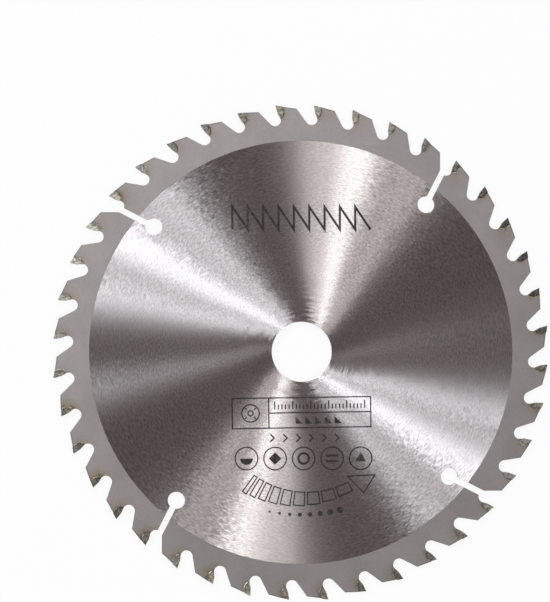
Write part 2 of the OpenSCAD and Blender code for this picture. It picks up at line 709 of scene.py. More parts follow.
@dataclass(frozen=True)
class BlastedSteel:
    """Matt blasted steel of the rim, stained about the seats, with painted shade along the lands' edges
    and painted light that makes one side of the rim lighter.
    """

    stain: HeatStain
    colour: Colour = (0.393, 0.3635, 0.361)
    straw: Colour = (0.30, 0.26, 0.17)
    # Brown of the scorch at the seams, also used as painted shade along the lands' edges.
    scorch_and_edge_shade: Colour = (0.115, 0.10, 0.075)
    straw_share: float = 0.85
    scorch_share: float = 0.8
    # Reach and strength of the painted shade along each land's edge.
    edge_shade_reach: Span = (0.2 * MM, 0.7 * MM)
    edge_shade_share: float = 0.45
    # Way and tones of painted light that makes one side of the rim lighter.
    painted_light_way: Point = heading(115.0)
    pale_tones: Span = (0.88, 1.06)
    pit_scale: float = 5200.0
    pit_tones: Span = (0.8, 1.2)
    pit_depth: float = 0.012 * MM
    cloud_scale: float = 70.0
    cloud_span: Span = (0.35, 0.7)
    cloud_tones: Span = (1.03, 0.93)
    roughness: float = 0.52
    roughness_spread: float = 0.12

    def material(self) -> bpy.types.Material:
        """Builds the finish.

        Returns:
            The material.
        """
        graph = NodeGraph("blasted_steel")
        place = graph.ring_place()
        seat = self.stain.pattern.seat_place(graph, place)
        straw, scorch = self.stain.masks(graph, place, seat)
        pits = graph.grain(place.point, self.pit_scale, Grain.SHARP)
        clouds = graph.grain(place.point, self.cloud_scale, Grain.CLOUDY)
        # Painted light: the rim is lighter towards one side of the blade.
        tone = graph.toward(place, self.painted_light_way, *self.pale_tones)
        tone = graph.number(Sum.TIMES, tone, graph.varied(pits, *self.pit_tones))
        tone = graph.number(Sum.TIMES, tone, graph.fade(clouds, *self.cloud_span, *self.cloud_tones))
        # Painted shade: the rim is darkened along the edge of every land.
        edge = graph.fade(seat.land, *self.edge_shade_reach, self.edge_shade_share, 0.0)
        colour = graph.blend(graph.number(Sum.TIMES, straw, self.straw_share), self.colour, self.straw)
        colour = graph.blend(graph.number(Sum.TIMES, scorch, self.scorch_share), colour, self.scorch_and_edge_shade)
        colour = graph.blend(edge, colour, self.scorch_and_edge_shade)
        roughness = graph.about(pits, self.roughness, self.roughness_spread)
        graph.metal(graph.scaled(colour, tone), roughness, graph.bump(pits, self.pit_depth))
        return graph.material


@dataclass(frozen=True)
class CutSteel:
    """Wall left by the cutting beam, with fine drag lines from face to face."""

    colour: Colour = (0.34, 0.32, 0.31)
    line_scale: float = 5000.0
    line_tones: Span = (0.7, 1.2)
    line_depth: float = 0.02 * MM
    drawn_out: float = 0.06
    soot_scale: float = 350.0
    soot_span: Span = (0.5, 0.75)
    soot_tone: float = 0.45
    soot_share: float = 0.5
    roughness: float = 0.46
    roughness_spread: float = 0.16

    def material(self) -> bpy.types.Material:
        """Builds the finish.

        Returns:
            The material.
        """
        graph = NodeGraph("cut_steel")
        place = graph.ring_place()
        along = graph.vector(Turn.TIMES, place.point, (1.0, 1.0, self.drawn_out))
        drag = graph.grain(along, self.line_scale)
        soot = graph.grain(place.point, self.soot_scale, Grain.CLOUDY)
        dark, light = (shaded(self.colour, tone) for tone in self.line_tones)
        colour = graph.blend(graph.varied(drag), dark, light)
        sooty = graph.fade(soot, *self.soot_span, 0.0, self.soot_share)
        colour = graph.blend(sooty, colour, shaded(self.colour, self.soot_tone))
        roughness = graph.about(drag, self.roughness, self.roughness_spread)
        graph.metal(colour, roughness, graph.bump(drag, self.line_depth))
        return graph.material


@dataclass(frozen=True)
class LandSteel:
    """Steel land behind a tip, with fine lines across the blade, darkened by painted shade."""

    # Darker than bare steel: painted shade of the shadowed surroundings that the land reflects.
    colour: Colour = (0.22, 0.205, 0.195)
    line_scale: float = 9000.0
    line_tones: Span = (0.8, 1.1)
    line_depth: float = 0.006 * MM
    drawn_out: float = 0.04
    roughness: float = 0.40
    roughness_spread: float = 0.12

    def material(self) -> bpy.types.Material:
        """Builds the finish.

        Returns:
            The material.
        """
        graph = NodeGraph("land_steel")
        place = graph.ring_place()
        across = graph.vector(Turn.TIMES, place.point, (1.0, 1.0, self.drawn_out))
        lines = graph.grain(across, self.line_scale)
        dark, light = (shaded(self.colour, tone) for tone in self.line_tones)
        colour = graph.blend(graph.varied(lines), dark, light)
        roughness = graph.about(lines, self.roughness, self.roughness_spread)
        graph.metal(colour, roughness, graph.bump(lines, self.line_depth))
        return graph.material


@dataclass(frozen=True)
class CarbideFlank:
    """Flank of a tip, ground in line with the blade's rings, mottled, partly wetted by braze, and lighter
    towards one side of the blade by painted light.
    """

    stain: HeatStain
    colour: Colour = (0.335, 0.322, 0.293)
    film: Colour = (0.42, 0.37, 0.23)
    seam: Colour = (0.07, 0.058, 0.04)
    # Way and tones of painted light that makes the flanks lighter towards one side of the blade.
    painted_light_way: Point = heading(140.0)
    pale_tones: Span = (0.74, 1.28)
    mottle_scale: float = 1300.0
    mottle_span: Span = (0.32, 0.68)
    mottle_tones: Span = (0.5, 1.45)
    grain_scale: float = 6000.0
    grain_tones: Span = (0.8, 1.2)
    grain_depth: float = 0.02 * MM
    run_scale: float = 1100.0
    film_span: Span = (0.42, 0.62)
    seam_span: Span = (0.3, 0.55)
    seam_reach: Span = (-0.75 * MM, -0.1 * MM)
    seam_share: float = 0.48
    roughness: float = 0.44
    roughness_spread: float = 0.12
    anisotropy: float = 0.8

    def material(self) -> bpy.types.Material:
        """Builds the finish.

        Returns:
            The material.
        """
        graph = NodeGraph("carbide_flank")
        place = graph.ring_place()
        seat = self.stain.pattern.seat_place(graph, place)
        straw, _ = self.stain.masks(graph, place, seat)
        grains = graph.grain(place.point, self.grain_scale, Grain.SHARP)
        mottle = graph.grain(place.point, self.mottle_scale, Grain.SHARP)
        runs = graph.grain(place.point, self.run_scale, Grain.RUNNY)
        # Painted light: flanks are lighter towards one side of the blade.
        tone = graph.toward(place, self.painted_light_way, *self.pale_tones)
        tone = graph.number(Sum.TIMES, tone, graph.fade(mottle, *self.mottle_span, *self.mottle_tones))
        tone = graph.number(Sum.TIMES, tone, graph.varied(grains, *self.grain_tones))
        wetted = graph.number(Sum.TIMES, graph.fade(runs, *self.film_span), straw)
        near_seam = graph.fade(seat.seam, *self.seam_reach, 0.0, self.seam_share)
        browned = graph.number(Sum.TIMES, near_seam, graph.fade(runs, *self.seam_span))
        colour = graph.blend(wetted, self.colour, self.film)
        colour = graph.blend(browned, colour, self.seam)
        roughness = graph.about(grains, self.roughness, self.roughness_spread)
        shader = graph.metal(graph.scaled(colour, tone), roughness, graph.bump(grains, self.grain_depth))
        shader.inputs["Anisotropic"].default_value = self.anisotropy
        graph.feed(shader.inputs["Tangent"], place.radial)
        return graph.material


@dataclass(frozen=True)
class CarbideEdge:
    """Cutting face and land of a tip: dark sintered carbide, ground fine."""

    colour: Colour = (0.20, 0.195, 0.18)
    grain_scale: float = 9000.0
    grain_tones: Span = (0.75, 1.25)
    grain_depth: float = 0.006 * MM
    roughness: float = 0.38
    roughness_spread: float = 0.12

    def material(self) -> bpy.types.Material:
        """Builds the finish.

        Returns:
            The material.
        """
        graph = NodeGraph("carbide_edge")
        place = graph.ring_place()
        grains = graph.grain(place.point, self.grain_scale, Grain.SHARP)
        colour = graph.scaled(self.colour, graph.varied(grains, *self.grain_tones))
        roughness = graph.about(grains, self.roughness, self.roughness_spread)
        graph.metal(colour, roughness, graph.bump(grains, self.grain_depth))
        return graph.material


@dataclass(frozen=True)
class SilverBraze:
    """Golden silver braze, frozen in small ripples and browned by flux, more on some teeth."""

    pattern: ToothPattern
    colour: Colour = (0.49, 0.44, 0.315)
    browned: Colour = (0.16, 0.137, 0.095)
    ripple_scale: float = 2600.0
    ripple_tones: Span = (0.75, 1.2)
    ripple_depth: float = 0.03 * MM
    flux_scale: float = 800.0
    burnt_span: Span = (0.48, 0.68)
    burnt_share: float = 0.95
    chance_row: float = 0.5
    tooth_spread: float = 0.22
    dull_span: Span = (0.4, 0.65)
    roughness: Span = (0.40, 0.66)

    def material(self) -> bpy.types.Material:
        """Builds the finish.

        Returns:
            The material.
        """
        graph = NodeGraph("silver_braze")
        place = graph.ring_place()
        seat = self.pattern.seat_place(graph, place)
        ripples = graph.grain(place.point, self.ripple_scale, Grain.SHARP)
        flux = graph.grain(place.point, self.flux_scale, Grain.PATCHY)
        own = graph.number(Sum.TIMES, graph.chance(seat.tooth, self.chance_row), self.tooth_spread)
        burnt = graph.fade(graph.number(Sum.ADD, flux, own), *self.burnt_span, 0.0, self.burnt_share)
        colour = graph.blend(burnt, self.colour, self.browned)
        colour = graph.scaled(colour, graph.varied(ripples, *self.ripple_tones))
        roughness = graph.fade(flux, *self.dull_span, *self.roughness)
        graph.metal(colour, roughness, graph.bump(ripples, self.ripple_depth))
        return graph.material


@dataclass(frozen=True)
class MarkingInk:
    """Dark printed ink, a little thin where the ground scratches run under it."""

    colour: Colour = (0.022, 0.019, 0.018)
    thin: Colour = (0.075, 0.066, 0.062)
    patch_scale: float = 900.0
    thin_span: Span = (0.45, 0.68)
    fine_scale: float = 6000.0
    fine_depth: float = 0.004 * MM
    roughness: Span = (0.42, 0.60)
    specular: float = 0.3

    def material(self) -> bpy.types.Material:
        """Builds the finish.

        Returns:
            The material.
        """
        graph = NodeGraph("marking_ink")
        place = graph.ring_place()
        patches = graph.grain(place.point, self.patch_scale, Grain.PATCHY)
        fine = graph.grain(place.point, self.fine_scale)
        colour = graph.blend(graph.fade(patches, *self.thin_span), self.colour, self.thin)
        roughness = graph.varied(fine, *self.roughness)
        shader = graph.skin(colour, roughness, graph.bump(fine, self.fine_depth))
        shader.inputs["Specular IOR Level"].default_value = self.specular
        return graph.material


@dataclass(frozen=True)
class WhiteSweep:
    """Plain white floor that reads as white paper and keeps a soft shadow."""

    colour: Colour = (0.95, 0.95, 0.95)
    paper: Colour = (1.0, 1.0, 1.0)
    paper_share: float = 0.9

    def material(self) -> bpy.types.Material:
        """Builds the finish.

        Returns:
            The material.
        """
        graph = NodeGraph("white_sweep")
        lit = graph.node("ShaderNodeBsdfDiffuse")
        graph.feed(lit.inputs["Color"], self.colour)
        paper = graph.node("ShaderNodeEmission")
        graph.feed(paper.inputs["Color"], self.paper)
        rays = graph.node("ShaderNodeLightPath").outputs
        seen = graph.number(Sum.MORE, rays["Is Camera Ray"], rays["Is Glossy Ray"])
        seen = graph.number(Sum.MORE, seen, rays["Is Transmission Ray"])
        mixed = graph.node("ShaderNodeMixShader")
        graph.feed(mixed.inputs[0], graph.number(Sum.TIMES, seen, self.paper_share))
        graph.feed(mixed.inputs[1], lit.outputs[0])
        graph.feed(mixed.inputs[2], paper.outputs[0])
        graph.surface(mixed.outputs[0])
        return graph.material


def add_piece(name: str, shape: bmesh.types.BMesh, finish: bpy.types.Material) -> bpy.types.Object:
    """Turns a finished mesh into an object of the scene.

    Args:
        name: Name of the piece.
        shape: The mesh, which is freed.
        finish: Material of the piece.

    Returns:
        The new object.
    """
    bmesh.ops.recalc_face_normals(shape, faces=shape.faces)
    mesh = bpy.data.meshes.new(name)
    shape.to_mesh(mesh)
    shape.free()
    mesh.materials.append(finish)
    piece = bpy.data.objects.new(name, mesh)
    bpy.context.scene.collection.objects.link(piece)
    return piece


def skin_sections(shape: bmesh.types.BMesh, sections: list[Section], closed: bool = False) -> None:
    """Skins a row of sections, and caps its ends unless it runs back to its start.

    Args:
        shape: Mesh that the faces go into.
        sections: Sections, with the same number of corners each.
        closed: Whether the row runs back to its start.
    """
    following = sections[1:] + sections[:1] if closed else sections[1:]
    for near, far in zip(sections, following):
        for corner in range(len(near)):
            after = (corner + 1) % len(near)
            shape.faces.new((near[corner], near[after], far[after], far[corner]))
    if not closed:
        shape.faces.new(list(reversed(sections[0])))
        shape.faces.new(sections[-1])


def dress_zones(
    piece: bpy.types.Object,
    finishes: dict[Enum, bpy.types.Material],
    zone_of: Callable[[bpy.types.MeshPolygon], Enum],
) -> None:
    """Gives every polygon of a piece the finish of its zone.

    Args:
        piece: The piece.
        finishes: Finish of each zone, in the order of their slots.
        zone_of: Tells the zone of a polygon.
    """
    piece.data.materials.clear()
    for finish in finishes.values():
        piece.data.materials.append(finish)
    for polygon in piece.data.polygons:
        polygon.material_index = zone_of(polygon).value


@dataclass
class BladePlate:
    """The steel plate, whose ground faces, matt rim, lands and cut walls each have a finish."""

    node: str = "blade_plate"
    ground_half: float = 0.75 * MM
    rim_half: float = 0.8 * MM
    land_inner: float = 79.0 * MM
    flat_normal: float = 0.999
    land_normal: float = 0.9

    def zone(self, polygon: bpy.types.MeshPolygon) -> PlateZone:
        """Tells which kind of surface a polygon belongs to.

        Args:
            polygon: Polygon of the plate.

        Returns:
            The zone.
        """
        middle_half = (self.ground_half + self.rim_half) / 2
        height = abs(polygon.center.z)
        if abs(polygon.normal.z) > self.flat_normal:
            return PlateZone.GROUND_FACE if height < middle_half else PlateZone.BLASTED_RIM
        out = Vector((polygon.center.x, polygon.center.y, 0.0))
        if out.length > self.land_inner and polygon.normal.dot(out.normalized()) > self.land_normal:
            return PlateZone.TOOTH_LAND
        if self.ground_half < height < self.rim_half:
            return PlateZone.BLASTED_RIM
        return PlateZone.CUT_WALL

    def dress(self, finishes: dict[PlateZone, bpy.types.Material]) -> bpy.types.Object:
        """Gives every polygon of the plate the finish of its zone.

        Args:
            finishes: Finish of each zone.

        Returns:
            The plate.
        """
        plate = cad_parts[self.node]
        dress_zones(plate, finishes, self.zone)
        return plate


@dataclass
class CarbideTips:
    """The carbide tips, one in the seat of each tooth."""

    prefix: str = "carbide_tip_"
    flank_normal: float = 0.95

    def zone(self, polygon: bpy.types.MeshPolygon) -> TipZone:
        """Tells a tip's flanks from its cutting face, land and back."""
        return TipZone.FLANK if abs(polygon.normal.z) > self.flank_normal else TipZone.EDGE_FACE

    def dress(self, finishes: dict[TipZone, bpy.types.Material]) -> list[bpy.types.Object]:
        """Gives every tip its finishes.

        Args:
            finishes: Finish of each zone.

        Returns:
            The tips.
        """
        tips = [node for name, node in sorted(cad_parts.items()) if name.startswith(self.prefix)]
        for tip in tips:
            dress_zones(tip, finishes, self.zone)
        return tips


@dataclass
class BrazeRuns:
    """The braze in the seats, and the uneven fillet that it leaves along every tip on both sides.

    A fillet starts a little below the land, lower on the tip's low side, and stops short of the foot.
    """

    pattern: ToothPattern
    seams: str = "braze_seams"
    name: str = "braze_fillets"
    start_below: float = 0.12 * MM
    low_side_drop: float = 0.1 * MM
    foot_stop: float = math.radians(4.0)
    straight_steps: int = 5
    round_steps: int = 14
    section_steps: int = 5
    end_share: float = 0.35
    start_taper: int = 2
    foot_taper: int = 3
    rise: float = 0.17 * MM
    width: float = 0.42 * MM
    width_spread: float = 0.32 * MM
    sunk: float = 0.03 * MM
    ripple: float = 900.0

    def dress(self, finish: bpy.types.Material) -> bpy.types.Object:
        """Gives the braze in the seats its finish.

        Args:
            finish: The braze.

        Returns:
            The braze seams.
        """
        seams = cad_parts[self.seams]
        seams.data.materials.clear()
        seams.data.materials.append(finish)
        return seams

    def path(self, side: Side, tooth: int) -> list[tuple[Point, Point]]:
        """Follows a tip's back and foot round, from its land to its foot.

        Args:
            side: Side of the blade.
            tooth: Number of the tooth, from 0.

        Returns:
            Points behind and down the face, each with the direction away from the tip.
        """
        pattern = self.pattern
        low = (tooth % 2 == 0) == (side is Side.BACK)
        start = pattern.land_down + self.start_below + (self.low_side_drop if low else 0.0)
        points = []
        for step in range(self.straight_steps):
            down = start + (pattern.round_down - start) * step / self.straight_steps
            points.append(((pattern.tip_t, down), (1.0, 0.0)))
        foot_cos = (pattern.foot_behind - pattern.round_behind) / pattern.tip_r
        foot_angle = math.acos(foot_cos) - self.foot_stop
        for step in range(self.round_steps + 1):
            angle = foot_angle * step / self.round_steps
            away = (math.cos(angle), math.sin(angle))
            behind = pattern.round_behind + pattern.tip_r * away[0]
            points.append(((behind, pattern.round_down + pattern.tip_r * away[1]), away))
        return points

    def section(self, side: Side, tooth: int, at: Point, away: Point, taper: float) -> list[Vector]:
        """Gives the hollow section of the fillet at one point of its path.

        Args:
            side: Side of the blade.
            tooth: Number of the tooth, from 0.
            at: Point behind and down the face.
            away: Direction away from the tip, behind and down.
            taper: Share of the full size here.

        Returns:
            The section's corners.
        """
        pattern = self.pattern
        x, y = pattern.placed(tooth, *at)
        out_x, out_y = pattern.turned(tooth, away[0], -away[1])
        unevenness = noise.noise(Vector((x, y, side.value * pattern.plate_half)) * self.ripple)
        width = (self.width + self.width_spread * unevenness) * taper
        profile = [(-self.sunk, -self.sunk)]
        for step in range(self.section_steps + 1):
            share = step / self.section_steps
            height = self.rise * taper * (1.0 - share) ** 2 - self.sunk * share
            profile.append((-self.sunk + (width + self.sunk) * share, height))
        corners = []
        for reach, height in profile:
            z = side.value * (pattern.plate_half + height)
            corners.append(Vector((x + out_x * reach, y + out_y * reach, z)))
        return corners

    def taper(self, place: int, last: int) -> float:
        """Gives the share of a fillet's full size at one point of its path."""
        grown = min(1.0, place / self.start_taper, (last - place) / self.foot_taper)
        return between((self.end_share, 1.0), grown)

    def build(self, finish: bpy.types.Material) -> bpy.types.Object:
        """Builds the fillets of all tips as one piece.

        Args:
            finish: The braze.

        Returns:
            The fillets.
        """
        shape = bmesh.new()
        for tooth in range(self.pattern.teeth):
            for side in Side:
                path = self.path(side, tooth)
                rings = []
                for place, (at, away) in enumerate(path):
                    taper = self.taper(place, len(path) - 1)
                    corners = self.section(side, tooth, at, away, taper)
                    rings.append([shape.verts.new(corner) for corner in corners])
                skin_sections(shape, rings)
        fillets = add_piece(self.name, shape, finish)
        for polygon in fillets.data.polygons:
            polygon.use_smooth = True
        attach(fillets, BODY)
        return fillets


class InkPen:
    """Lays ink on a flat face as thin closed patches and ribbons of one mesh."""

    def __init__(self, face: float, sunk: float, proud: float) -> None:
        """Starts an empty print.

        Args:
            face: Height of the face.
            sunk: Depth of the ink's underside below the face.
            proud: Height of the ink above the face.
        """
        self.shape = bmesh.new()
        self.under = face - sunk
        self.top = face + proud

    def corners(self, outline: Iterable[Point], z: float) -> list[bmesh.types.BMVert]:
        """Adds the corners of an outline at one height."""
        return [self.shape.verts.new((x, y, z)) for x, y in outline]

    def patch(self, outline: Sequence[Point]) -> None:
        """Fills an outline, whose corners run counter-clockwise."""
        skin_sections(self.shape, [self.corners(outline, z) for z in (self.under, self.top)])

    def ribbon(self, left: Sequence[Point], right: Sequence[Point], closed: bool) -> None:
        """Fills the band between two lines.

        Args:
            left: Points of one line.
            right: Matching points of the other line.
            closed: Whether the band runs back to its start.
        """
        rails = [self.corners(line, z) for line in (left, right) for z in (self.under, self.top)]
        left_low, left_high, right_low, right_high = rails
        skin_sections(self.shape, list(zip(left_low, left_high, right_high, right_low)), closed)

    def stroke(self, points: Sequence[Point], width: float, closed: bool = False) -> None:
        """Draws a line with mitred corners.

        Args:
            points: Points of the line's middle.
            width: Width of the line.
            closed: Whether the line runs back to its start.
        """
        count = len(points)
        spots = [Vector(point) for point in points]
        left, right = [], []
        for here in range(count):
            before = spots[here] - spots[here - 1] if closed or here > 0 else spots[1] - spots[0]
            after = spots[(here + 1) % count] - spots[here] if closed or here < count - 1 else before
            first, second = self.beside(before), self.beside(after)
            mitre = (first + second) * (width / 2 / (1.0 + first.dot(second)))
            left.append(tuple(spots[here] + mitre))
            right.append(tuple(spots[here] - mitre))
        self.ribbon(left, right, closed)

    def ring(self, middle: Point, radius: float, width: float) -> None:
        """Draws a circle.

        Args:
            middle: Middle of the circle.
            radius: Outer radius.
            width: Width of the line.
        """
        self.ribbon(round_points(middle, radius), round_points(middle, radius - width), True)

    @staticmethod
    def beside(way: Vector) -> Vector:
        """Gives the unit direction to the left of a way."""
        return Vector((-way.y, way.x)).normalized()


def round_points(
    middle: Point, radius: float, start: float = 0.0, end: float = math.tau, steps: int = 48
) -> list[Point]:
    """Gives points along a circle or an arc.

    Args:
        middle: Middle of the circle.
        radius: Radius.
        start: Angle of the first point.
        end: Angle where the arc ends. A full turn doesn't repeat its first point.
        steps: Number of steps from start to end.

    Returns:
        The points.
    """
    full = math.isclose(end - start, math.tau)
    points = []
    for step in range(steps if full else steps + 1):
        angle = start + (end - start) * step / steps
        points.append(spot(middle, radius, angle))
    return points


@dataclass
class FaceMarks:
    """Plain printed marks on the front face: teeth, a framed scale, five rings and the turning arrow."""

    face: float
    name: str = "face_marks"
    sunk: float = 0.004 * MM
    proud: float = 0.012 * MM
    line: float = 0.42 * MM
    chevron_line: float = 0.504 * MM
    thick_line: float = 0.75 * MM

    band_middle: Point = (0.0, 44.5 * MM)
    band_size: Point = (46.0 * MM, 7.6 * MM)
    band_teeth: int = 9

    frame_middle: Point = (-0.1 * MM, -20.2 * MM)
    frame_size: Point = (46.0 * MM, 10.0 * MM)
    frame_tilt: float = math.radians(0.75)
    frame_split: float = 12.1 * MM
    sign_share: float = 0.62
    bore_share: float = 0.34
    sign_slots: int = 4
    slot_shares: Span = (0.55, 0.82)
    ticks: int = 26
    tick_margin: float = 2.0 * MM
    tick_low: float = 0.24
    tick_reach: float = 0.32
    long_reach: float = 0.54
    long_tick_every: int = 5
    row_teeth: int = 5
    row_tooth: float = 2.4 * MM
    row_step: float = 1.35
    row_heights: Span = (-0.74, -0.26)

    chevron_middle: Point = (0.9 * MM, -28.6 * MM)
    chevrons: int = 6
    chevron_step: float = 4.3 * MM
    chevron_size: Point = (1.3 * MM, 2.5 * MM)

    rings: int = 5
    ring_row: Point = (-18.4 * MM, -35.4 * MM)
    ring_step: float = 9.47 * MM
    ring_r: float = 3.95 * MM
    sign_r: float = 2.1 * MM
    bar_offset: float = 0.45
    half_disc_steps: int = 20

    arrow_middle: Point = (1.6 * MM, -17.0 * MM)
    arrow_start: float = math.radians(233.9)
    arrow_boxes: int = 9
    arrow_inner: float = 29.6 * MM
    arrow_outer: Span = (36.2 * MM, 32.8 * MM)
    arrow_widths: Span = (1.3 * MM, 4.9 * MM)
    arrow_gap: float = 1.07 * MM
    arrow_steps: int = 4
    arrow_head: tuple[Point, Point, Point] = (
        (15.1 * MM, -41.35 * MM),
        (20.5 * MM, -46.8 * MM),
        (24.2 * MM, -40.9 * MM),
    )

    dots: int = 8
    dot_radius: float = 54.0 * MM
    dot_span: Span = (math.radians(258.5), math.radians(283.5))
    dot_sizes: Span = (0.4 * MM, 1.05 * MM)
    dot_steps: int = 24

    pen: InkPen = field(init=False)

    def build(self, finish: bpy.types.Material) -> bpy.types.Object:
        """Prints all the marks as one piece.

        Args:
            finish: The ink.

        Returns:
            The marks.
        """
        self.pen = InkPen(self.face, self.sunk, self.proud)
        self.tooth_band()
        self.framed_scale()
        self.chevron_row()
        self.ring_row_signs()
        self.turning_arrow()
        self.dot_arc()
        marks = add_piece(self.name, self.pen.shape, finish)
        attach(marks, BODY)
        return marks

    def tooth_band(self) -> None:
        """Draws a band of saw teeth on one line."""
        (middle_x, middle_y), (width, height) = self.band_middle, self.band_size
        step = width / self.band_teeth
        left, low, high = middle_x - width / 2, middle_y - height / 2, middle_y + height / 2
        points = []
        for tooth in range(self.band_teeth):
            points.append((left + tooth * step, low))
            points.append((left + tooth * step, high))
        points.append((left + width, low))
        self.pen.stroke(points, self.thick_line)

    def tilted(self, across: float, up: float) -> Point:
        """Takes a point of the frame, from its middle, to the blade."""
        cos, sin = math.cos(self.frame_tilt), math.sin(self.frame_tilt)
        x, y = self.frame_middle
        return x + across * cos - up * sin, y + across * sin + up * cos

    def framed_scale(self) -> None:
        """Draws the frame with a blade sign, a scale of ticks and a row of teeth in its cells."""
        half_w, half_h = self.frame_size[0] / 2, self.frame_size[1] / 2
        inset = self.line / 2
        split = -half_w + self.frame_split
        corners = ((-half_w, -half_h), (half_w, -half_h), (half_w, half_h), (-half_w, half_h))
        self.pen.stroke([self.tilted(*corner) for corner in corners], self.line, True)
        upright = ((split, -half_h + inset), (split, half_h - inset))
        level = ((split + inset, 0.0), (half_w - inset, 0.0))
        for ends in (upright, level):
            self.pen.stroke([self.tilted(*end) for end in ends], self.line)
        self.blade_sign(self.tilted(-half_w + self.frame_split / 2, 0.0), half_h * self.sign_share)
        self.tick_scale(split, half_w, half_h)
        self.tooth_row(split, half_w, half_h)

    def blade_sign(self, middle: Point, radius: float) -> None:
        """Draws a small blade: a ring, its bore and short slots.

        Args:
            middle: Middle of the sign.
            radius: Radius of the ring.
        """
        self.pen.ring(middle, radius, self.line)
        self.pen.ring(middle, radius * self.bore_share, self.line)
        for slot in range(self.sign_slots):
            angle = math.tau * (slot + 0.5) / self.sign_slots
            ends = [spot(middle, radius * share, angle) for share in self.slot_shares]
            self.pen.stroke(ends, self.line)

    def tick_scale(self, split: float, half_w: float, half_h: float) -> None:
        """Draws a scale in the upper cell, with some ticks long.

        Args:
            split: Left edge of the cell.
            half_w: Right edge of the cell.
            half_h: Upper edge of the cell.
        """
        step = (half_w - split - 2 * self.tick_margin) / (self.ticks - 1)
        low = half_h * self.tick_low
        for tick in range(self.ticks):
            across = split + self.tick_margin + tick * step
            share = self.long_reach if tick % self.long_tick_every == 0 else self.tick_reach
            heights = (low, low + half_h * share)
            self.pen.stroke([self.tilted(across, height) for height in heights], self.line)

    def tooth_row(self, split: float, half_w: float, half_h: float) -> None:
        """Draws a row of filled teeth in the lower cell.

        Args:
            split: Left edge of the cell.
            half_w: Right edge of the cell.
            half_h: Height of the cell.
        """
        middle = (split + half_w) / 2
        low, high = (half_h * height for height in self.row_heights)
        for tooth in range(self.row_teeth):
            left = middle + (tooth - self.row_teeth / 2) * self.row_tooth * self.row_step
            corners = ((left, low), (left + self.row_tooth, low), (left, high))
            self.pen.patch([self.tilted(*corner) for corner in corners])

    def chevron_row(self) -> None:
        """Draws a row of chevrons that point the way the blade turns."""
        wide, tall = self.chevron_size
        for chevron in range(self.chevrons):
            x = self.chevron_middle[0] + (chevron - (self.chevrons - 1) / 2) * self.chevron_step
            y = self.chevron_middle[1]
            points = [(x - wide / 2, y + tall / 2), (x + wide / 2, y), (x - wide / 2, y - tall / 2)]
            self.pen.stroke(points, self.chevron_line)

    def ring_row_signs(self) -> None:
        """Draws five rings in a row, with a plain shape in each."""
        signs = (self.half_disc, self.diamond, self.inner_ring, self.bar_pair, self.triangle)
        for place, sign in zip(range(self.rings), signs):
            middle = (self.ring_row[0] + place * self.ring_step, self.ring_row[1])
            self.pen.ring(middle, self.ring_r, self.line)
            sign(middle)

    def half_disc(self, middle: Point) -> None:
        """Fills the lower half of a disc."""
        self.pen.patch(round_points(middle, self.sign_r, math.pi, math.tau, self.half_disc_steps))

    def diamond(self, middle: Point) -> None:
        """Fills a square on its corner."""
        self.pen.patch(round_points(middle, self.sign_r, steps=4))

    def inner_ring(self, middle: Point) -> None:
        """Draws a thick ring."""
        self.pen.ring(middle, self.sign_r, self.thick_line)

    def bar_pair(self, middle: Point) -> None:
        """Draws two level bars."""
        for up in (-self.bar_offset, self.bar_offset):
            y = middle[1] + up * self.sign_r
            self.pen.stroke([(middle[0] - self.sign_r, y), (middle[0] + self.sign_r, y)], self.thick_line)

    def triangle(self, middle: Point) -> None:
        """Fills a triangle that points up."""
        quarter = math.pi / 2
        self.pen.patch(round_points(middle, self.sign_r, quarter, quarter + math.tau, 3))

    def turning_arrow(self) -> None:
        """Draws the bent arrow of the way the blade turns, with boxes that grow towards its head."""
        reach = (self.arrow_inner + self.arrow_outer[0]) / 2
        angle = self.arrow_start
        for box in range(self.arrow_boxes):
            share = box / (self.arrow_boxes - 1)
            end = angle + between(self.arrow_widths, share) / reach
            outer = between(self.arrow_outer, share)
            low = round_points(self.arrow_middle, outer, angle, end, self.arrow_steps)
            high = round_points(self.arrow_middle, self.arrow_inner, angle, end, self.arrow_steps)
            self.pen.stroke(low + list(reversed(high)), self.line, True)
            angle = end + self.arrow_gap / reach
        self.pen.stroke(self.arrow_head, self.line, True)

    def dot_arc(self) -> None:
        """Draws dots under the arrow that grow the way the blade turns."""
        for dot in range(self.dots):
            share = dot / (self.dots - 1)
            middle = spot((0.0, 0.0), self.dot_radius, between(self.dot_span, share))
            self.pen.patch(round_points(middle, between(self.dot_sizes, share), steps=self.dot_steps))


class LampTint(Enum):
    """Tint of a softbox's light."""

    COOL = (0.975, 1.0, 1.035)
    WARM = (1.005, 1.0, 0.975)


@dataclass(frozen=True)
class Softbox:
    """Long soft lamp that points at the blade from one side, with its long way in line with the axis.

    Its level is the brightness that it alone gives a white card lying on the blade.
    """

    name: str
    azimuth: float
    level: float
    tint: LampTint
    tilt: float = 42.0
    distance: float = 2.2
    width: float = 0.20
    length: float = 1.0

    def place(self) -> bpy.types.Object:
        """Sets the lamp up.

        Returns:
            The lamp.
        """
        turn, tilt = math.radians(self.azimuth), math.radians(self.tilt)
        away = Vector((math.cos(turn) * math.sin(tilt), math.sin(turn) * math.sin(tilt), math.cos(tilt)))
        across = Vector((-math.sin(turn), math.cos(turn), 0.0))
        lamp = bpy.data.lights.new(self.name, "AREA")
        lamp.shape = "RECTANGLE"
        lamp.color = self.tint.value
        lamp.size = self.width
        lamp.size_y = self.length
        lamp.energy = self.level * (math.pi * self.distance) ** 2 / math.cos(tilt)
        box = bpy.data.objects.new(self.name, lamp)
        box.visible_camera = False
        turned = Matrix((across, away.cross(across), away)).transposed()
        box.matrix_world = Matrix.Translation(away * self.distance) @ turned.to_4x4()
        bpy.context.scene.collection.objects.link(box)
        return box


